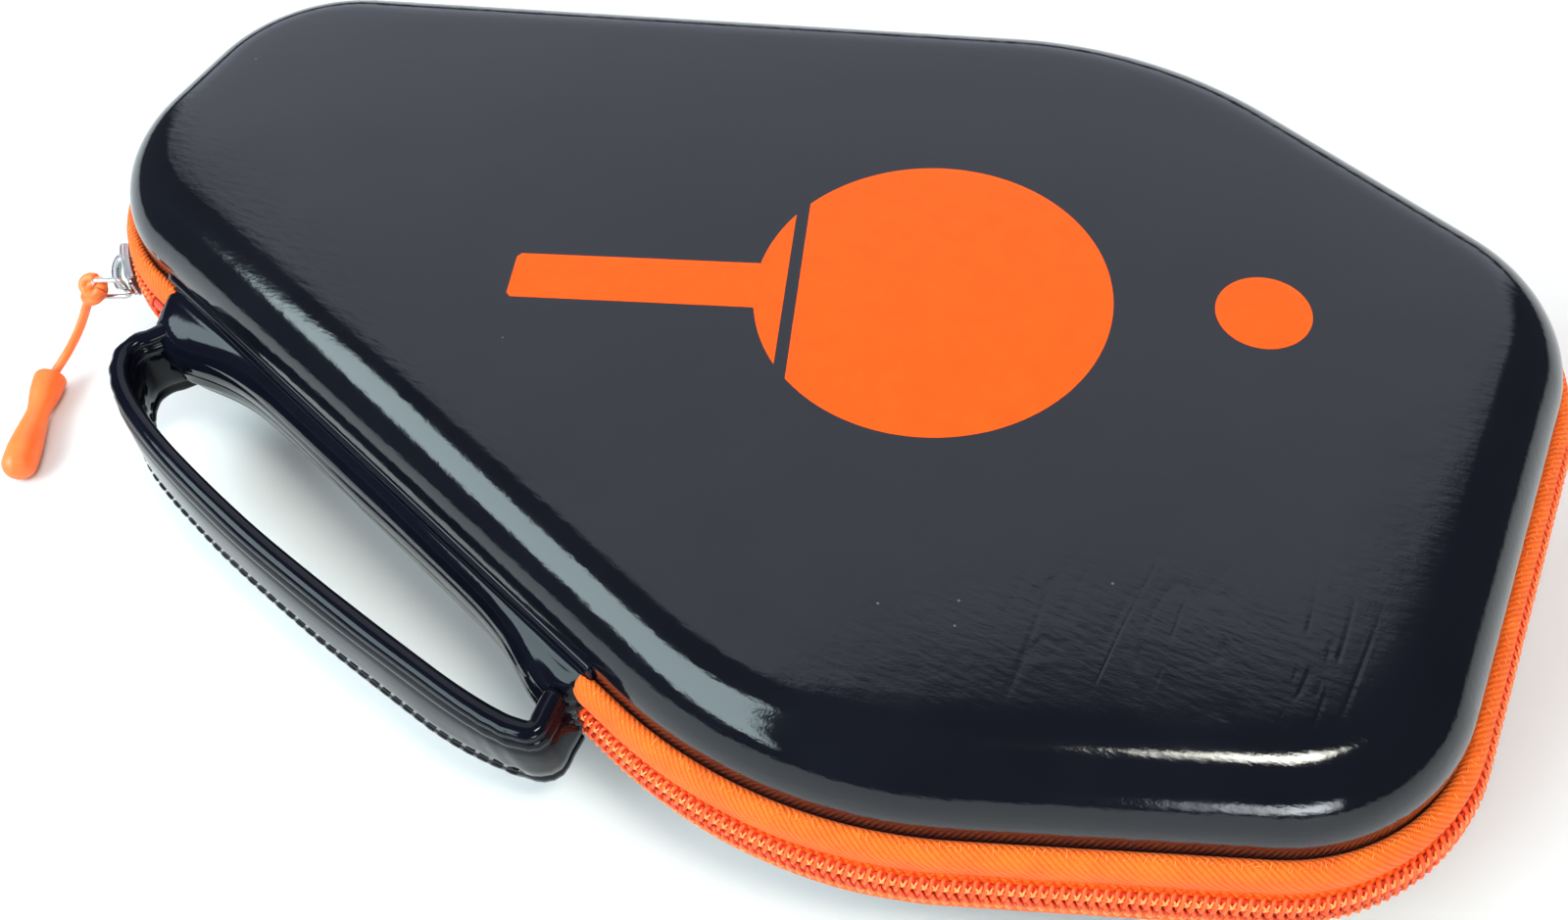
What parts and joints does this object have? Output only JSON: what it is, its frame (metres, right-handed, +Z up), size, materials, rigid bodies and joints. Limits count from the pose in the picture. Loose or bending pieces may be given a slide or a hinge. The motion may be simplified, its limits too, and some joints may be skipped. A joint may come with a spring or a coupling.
{
  "type": "paddle case",
  "caption": "Hard zip-round case for a table tennis bat: moulded shells on a fabric hinge, with a side handle, a slider with a soft puller, an elastic strap and a net pocket.",
  "frame": {"origin": "middle of the flat underside of the base shell, on the surface the case lies on", "axes": "+X along the case towards its wide end, +Z up through the lid, and the handle and the fabric hinge at -Y"},
  "size_m": [0.3083, 0.1948, 0.0532],
  "materials": {
    "patent_skin": "high-gloss black patent skin over moulded foam",
    "lining": "black brushed knit",
    "orange_twill": "orange twill zip tape",
    "orange_coil": "red-orange nylon coil",
    "metal": "nickel-plated zinc",
    "binding": "black ribbed binding tape",
    "elastic": "black woven elastic",
    "thread": "black sewing thread",
    "mesh": "black open net",
    "foam": "soft foam filler",
    "webbing": "woven webbing core",
    "orange_print": "satin orange printed film",
    "orange_rubber": "orange moulded silicone"
  },
  "bodies": {
    "base": {"base_shell": "patent_skin", "base_lining": "lining", "base_zip_tape": "orange_twill", "base_zip_coil": "orange_coil", "base_zip_stops": "metal", "base_rim_binding": "binding", "base_spine_flap": "patent_skin", "retaining_strap": "elastic", "strap_bartacks": "thread"},
    "spine": {"spine_cover": "patent_skin", "spine_filler": "foam", "spine_lining": "lining", "left_handle_tab": "patent_skin", "right_handle_tab": "patent_skin"},
    "lid": {"lid_shell": "patent_skin", "lid_lining": "lining", "lid_zip_tape": "orange_twill", "lid_zip_coil": "orange_coil", "lid_zip_stops": "metal", "lid_rim_binding": "binding", "lid_spine_flap": "patent_skin", "pocket_mesh": "mesh", "pocket_hem": "elastic", "lid_emblem": "orange_print"},
    "handle": {"handle_core": "webbing", "handle_outer_face": "patent_skin", "handle_inner_face": "patent_skin", "handle_edge_roll": "patent_skin"},
    "slider": {"slider_body": "metal", "slider_crown": "metal"},
    "puller": {"pull_ring": "metal", "puller_loop": "orange_rubber", "puller_cord": "orange_rubber", "puller_grip": "orange_rubber"}
  },
  "joints": [
    {"name": "spine_fold", "type": "hinge", "parent": "base", "child": "spine", "pos_m": [-0.05237, -0.07058, 0.0175], "axis": [0.9545, -0.2983, 0], "range_deg": [0, 80]},
    {"name": "lid_fold", "type": "hinge", "parent": "spine", "child": "lid", "pos_m": [-0.05237, -0.07058, 0.0355], "axis": [0.9545, -0.2983, 0], "range_deg": [0, 80]},
    {"name": "handle_swing", "type": "hinge", "parent": "spine", "child": "handle", "pos_m": [-0.05336, -0.07373, 0.0265], "axis": [-0.9545, 0.2983, 0], "range_deg": [-30, 40], "stiffness_Nm_per_rad": 0.03},
    {"name": "slider_travel", "type": "hinge", "parent": "base", "child": "slider", "pos_m": [-0.109, -0.00836, 0.0265], "axis": [0, 0, 1], "range_deg": [-34, 0]},
    {"name": "pull_swing", "type": "hinge", "parent": "slider", "child": "puller", "pos_m": [-0.13451, -0.04452, 0.0265], "axis": [0, 0, 1], "range_deg": [-8, 25]}
  ],
  "couplings": [
    {"joint": "spine_fold", "follows": "lid_fold", "ratio": 1}
  ]
}
